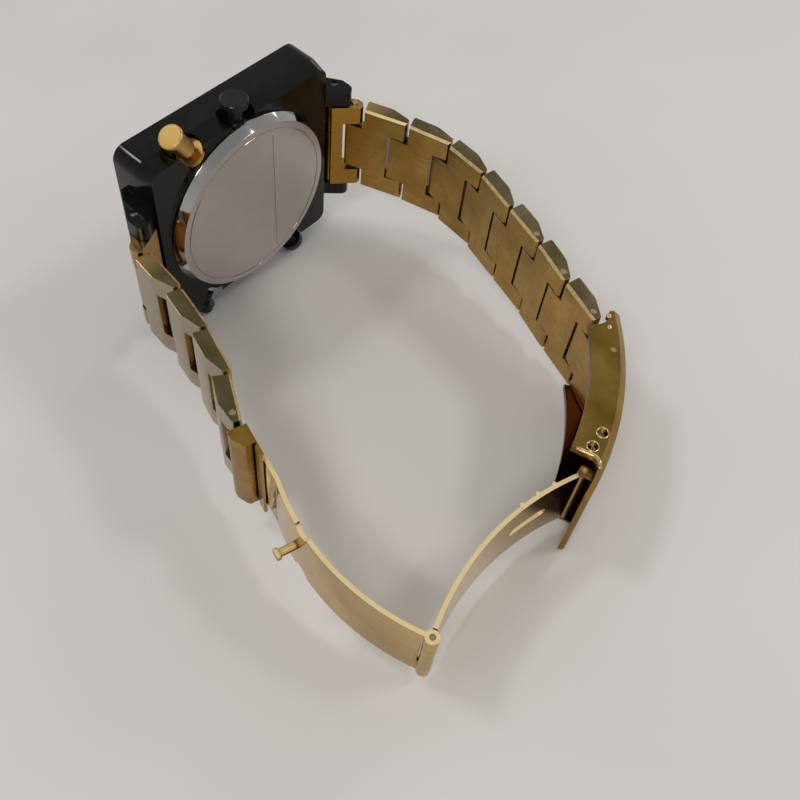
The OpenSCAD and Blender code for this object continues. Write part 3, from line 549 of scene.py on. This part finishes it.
# Pin ends and the raised rims of the two spring bar holes.
DOME = [(0, 0.26), (0.22, 0.24), (0.40, 0.16), (0.52, 0.03), (0.56, -0.15), (0.56, -0.9), (0, -0.9)]
RIM = [(0.92, -0.3), (0.92, 0.05), (0.98, 0.10), (1.12, 0.09), (1.20, 0.02), (1.22, -0.15)]
for k, (deep, turn) in enumerate(((2.5, 7.1), (2.8, 4.7))):
    turned("wall_pin_%d" % k, "cover", on_cover(deep, turn), DOME, "pin_gold")
for k, (deep, turn) in enumerate(((2.6, -17), (3.4, -20.1))):
    turned("wall_rim_%d" % k, "cover", on_cover(deep, turn), RIM, "pin_gold")

# Polished rim of the step beside the clasp pivot: straight, then round the pivot. Its paler pin
# gold paints the rim's highlight.
RIM_FROM_PIVOT = 2.15
step_edge = [beside_pivot(2.1 + 0.03 * out, out) for out in (-3.0, -2.2, -1.4, -0.7)]
for turn in range(0, 85, 8):
    a = math.radians(turn)
    step_edge.append(beside_pivot(RIM_FROM_PIVOT * math.cos(a), RIM_FROM_PIVOT * math.sin(a)))
ROUND = [(-0.34, -0.2), (-0.34, 0.02), (-0.26, 0.13), (-0.1, 0.19), (0.1, 0.19), (0.26, 0.13),
         (0.34, 0.02), (0.34, -0.2)]
bead("cover_step_rim", "cover", step_edge, ROUND, "pin_gold")

# Table top.
FLOOR_HALF = 1.5
floor_mesh = bpy.data.meshes.new("floor")
bm = bmesh.new()
bmesh.ops.create_grid(bm, x_segments=8, y_segments=8, size=FLOOR_HALF)
bm.to_mesh(floor_mesh)
bm.free()
floor = bpy.data.objects.new("floor", floor_mesh)
bpy.context.scene.collection.objects.link(floor)
table = Nodes("table_top")
clouds = table.noise(table.loop_coords(), scale=0.012, detail=2.0)
tint = table.ramp(clouds, [(0.3, (0.78, 0.755, 0.74)), (0.7, (0.83, 0.80, 0.79))])
dust = table.new("ShaderNodeTexVoronoi")
dust.inputs["Scale"].default_value = 0.03
table.link(table.loop_coords(), dust.inputs["Vector"])
speck = table.math("LESS_THAN", dust.outputs["Distance"], 0.012)
table.link(table.blend(table.math("MULTIPLY", speck, 0.45), tint, (0.25, 0.23, 0.22)),
           table.bsdf.inputs["Base Color"])
table.bsdf.inputs["Roughness"].default_value = 0.6
floor_mesh.materials.append(table.mat)

# Light.
world = bpy.data.worlds.new("studio")
bpy.context.scene.world = world
world.use_nodes = True
sky = world.node_tree
back = sky.nodes["Background"]
where = sky.nodes.new("ShaderNodeTexCoord")
split = sky.nodes.new("ShaderNodeSeparateXYZ")
sky.links.new(where.outputs["Generated"], split.inputs["Vector"])
tone = sky.nodes.new("ShaderNodeValToRGB")
HORIZON = (0.58, 0.575, 0.57, 1)
ZENITH = (0.30, 0.305, 0.295, 1)
tone.color_ramp.elements[0].position = 0.0
tone.color_ramp.elements[0].color = HORIZON
tone.color_ramp.elements[1].position = 1.0
tone.color_ramp.elements[1].color = ZENITH
sky.links.new(split.outputs["Z"], tone.inputs["Fac"])
sky.links.new(tone.outputs["Color"], back.inputs["Color"])
back.inputs["Strength"].default_value = 1.0


LAMP_AT = 1.2


def softbox(name, way, size, power, colour):
    """A rectangular lamp in the direction way from the object, LAMP_AT metres off."""
    data = bpy.data.lights.new(name, "AREA")
    data.shape = "RECTANGLE"
    data.size, data.size_y = size
    data.energy = power
    data.color = colour
    lamp = bpy.data.objects.new(name, data)
    bpy.context.scene.collection.objects.link(lamp)
    lamp.location = Vector(way).normalized() * LAMP_AT
    lamp.rotation_mode = "QUATERNION"
    lamp.rotation_quaternion = (-Vector(way)).to_track_quat("-Z", "Y")


softbox("over_camera", (-0.62, -0.32, 0.72), (0.34, 0.16), 2.6, (1.0, 0.98, 0.95))
softbox("far_left", (-0.18, 0.44, 0.86), (0.26, 0.14), 1.5, (1.0, 0.98, 0.95))
softbox("near_right", (0.45, -0.52, 0.73), (0.30, 0.14), 1.8, (1.0, 0.97, 0.94))
softbox("side", (1.0, 0.1, 0.55), (0.5, 0.3), 1.2, (1.0, 0.97, 0.96))

# Camera, at the photograph's angle.
CAMERA_AT = (-0.08929024, -0.09595207, 0.15762719)
CAMERA_TURN = Quaternion((0.8560042606, 0.3148333967, -0.1198143251, -0.3921494174))
cam_data = bpy.data.cameras.new("camera")
cam_data.sensor_width = 36
cam_data.lens = 43.776
cam_data.clip_start = 0.005
cam_data.clip_end = 20
camera = bpy.data.objects.new("camera", cam_data)
bpy.context.scene.collection.objects.link(camera)
camera.location = CAMERA_AT
camera.rotation_mode = "QUATERNION"
camera.rotation_quaternion = CAMERA_TURN
bpy.context.scene.camera = camera
bpy.context.scene.view_settings.view_transform = "Standard"
bpy.context.scene.cycles.sample_clamp_indirect = 3.0
